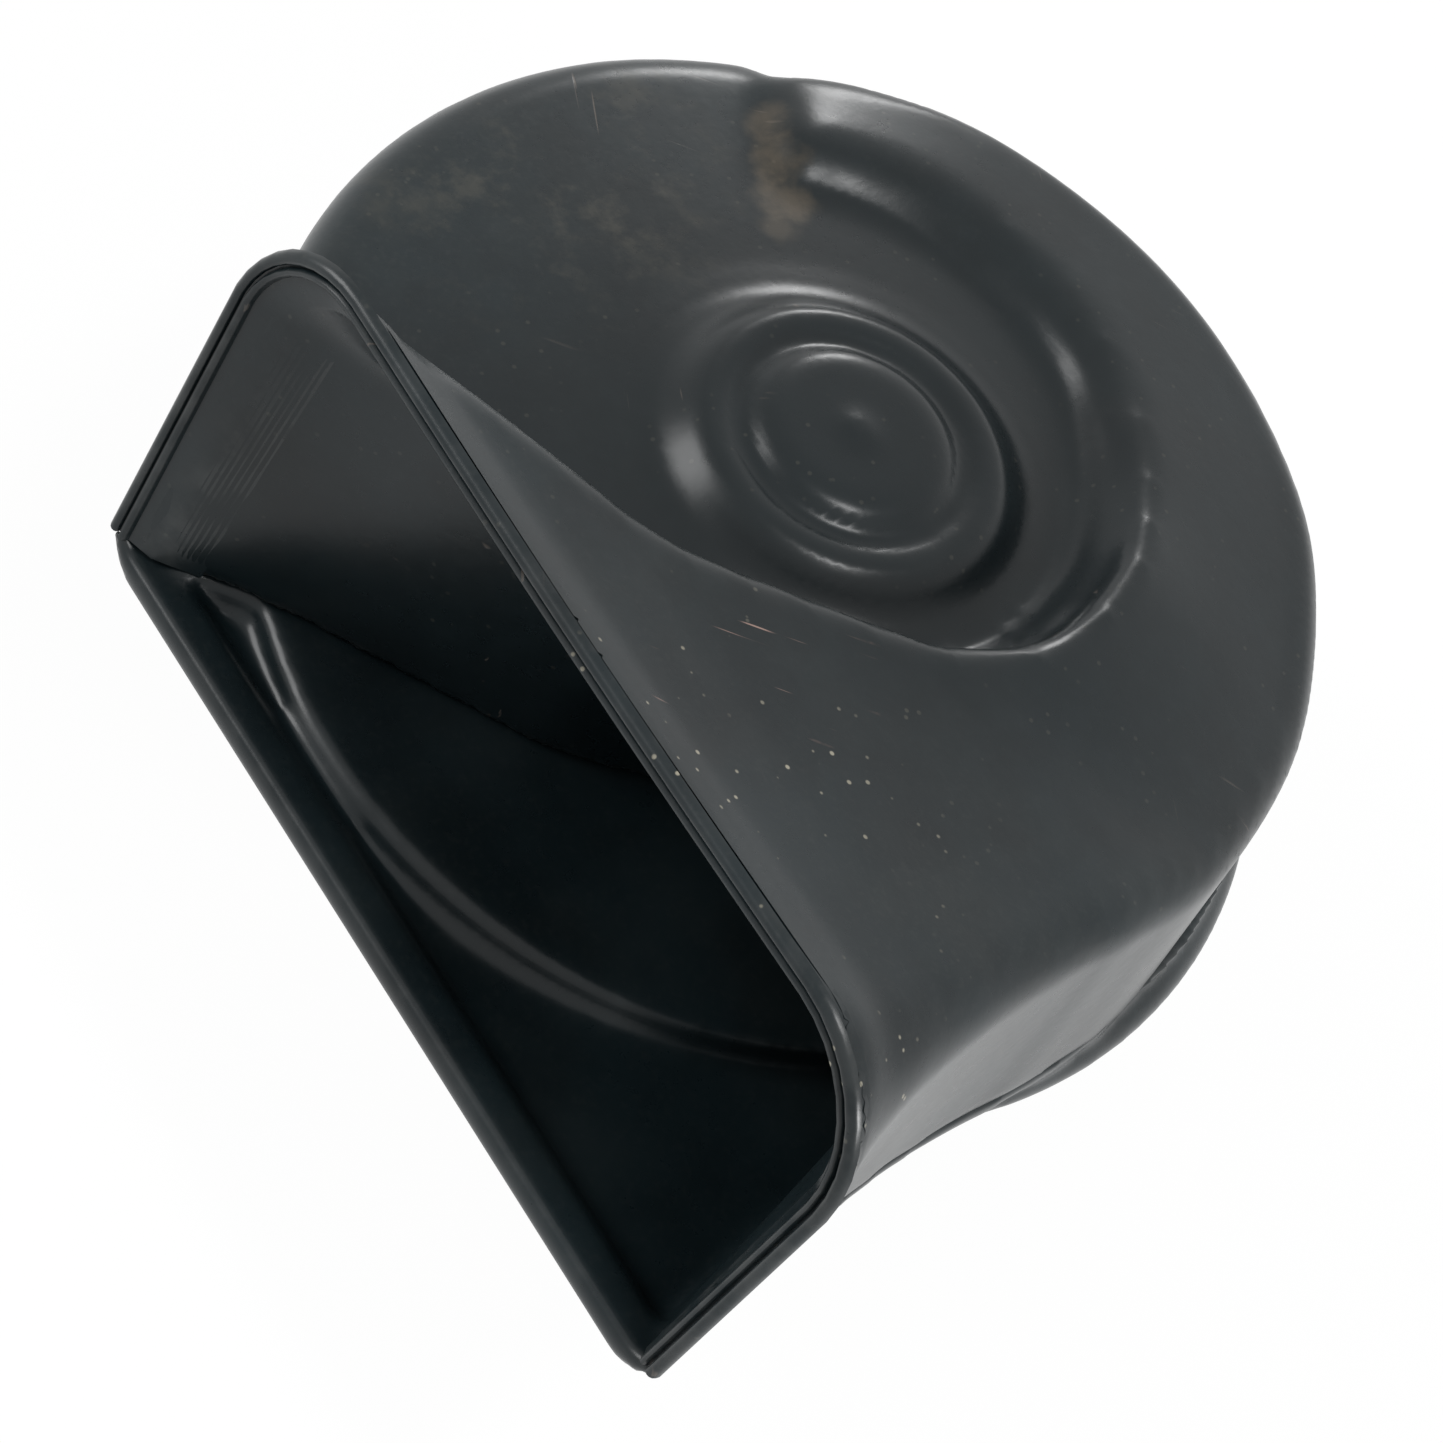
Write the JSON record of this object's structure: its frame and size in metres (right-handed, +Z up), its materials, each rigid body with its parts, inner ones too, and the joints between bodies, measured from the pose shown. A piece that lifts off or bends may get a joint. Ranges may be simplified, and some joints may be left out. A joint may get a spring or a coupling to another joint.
{
  "type": "car horn",
  "caption": "Electric snail horn with a black moulded spiral trumpet, wide rectangular mouth, crimped steel pot and a strip bracket.",
  "frame": {"origin": "centre of the bracket's fixing hole, on the strip's rear face", "axes": "+Z up along the bracket, away from the mouth; -Y out of the trumpet's front face; +X towards the longer end of the mouth"},
  "size_m": [0.1003, 0.0749, 0.1154],
  "materials": {
    "trumpet": "moulded, semi-gloss, dusty",
    "trumpet_rear": "moulded, semi-gloss",
    "gasket": "matt",
    "spring_steel": "rolled",
    "black_steel": "black coat",
    "zinc_steel": "zinc plated",
    "bobbin": "moulded",
    "copper": "enamelled wire",
    "insulator": "laminate",
    "brass": "rolled",
    "contact": "turned",
    "resistor": "ceramic body",
    "connector": "moulded",
    "bracket_steel": "zinc plated"
  },
  "bodies": {
    "housing": {"trumpet_front_shell": "trumpet", "trumpet_rear_shell": "trumpet_rear", "front_gasket": "gasket", "diaphragm": "spring_steel", "rear_gasket": "gasket", "crimp_ring": "black_steel", "body_pot": "black_steel", "pole_core": "zinc_steel", "coil_bobbin": "bobbin", "coil_winding": "copper", "breaker_base": "insulator", "fixed_contact_strip": "brass", "fixed_contact": "contact", "breaker_spacer": "insulator", "spring_arm": "brass", "moving_contact": "contact", "breaker_rivet": "brass", "adjusting_screw": "zinc_steel", "suppression_resistor": "resistor", "connector_housing": "connector", "terminal_blades": "brass", "mounting_bracket": "bracket_steel", "spring_washer": "zinc_steel", "stud_nut": "zinc_steel"},
    "drive": {"armature": "zinc_steel", "armature_washer": "zinc_steel", "armature_nut": "zinc_steel"}
  },
  "joints": [
    {"name": "armature_travel", "type": "slide", "parent": "housing", "child": "drive", "axis": [0, 1, 0], "range_m": [-0.0003, 0.0003], "stiffness_N_per_m": 20000, "deforming": ["diaphragm"]}
  ]
}
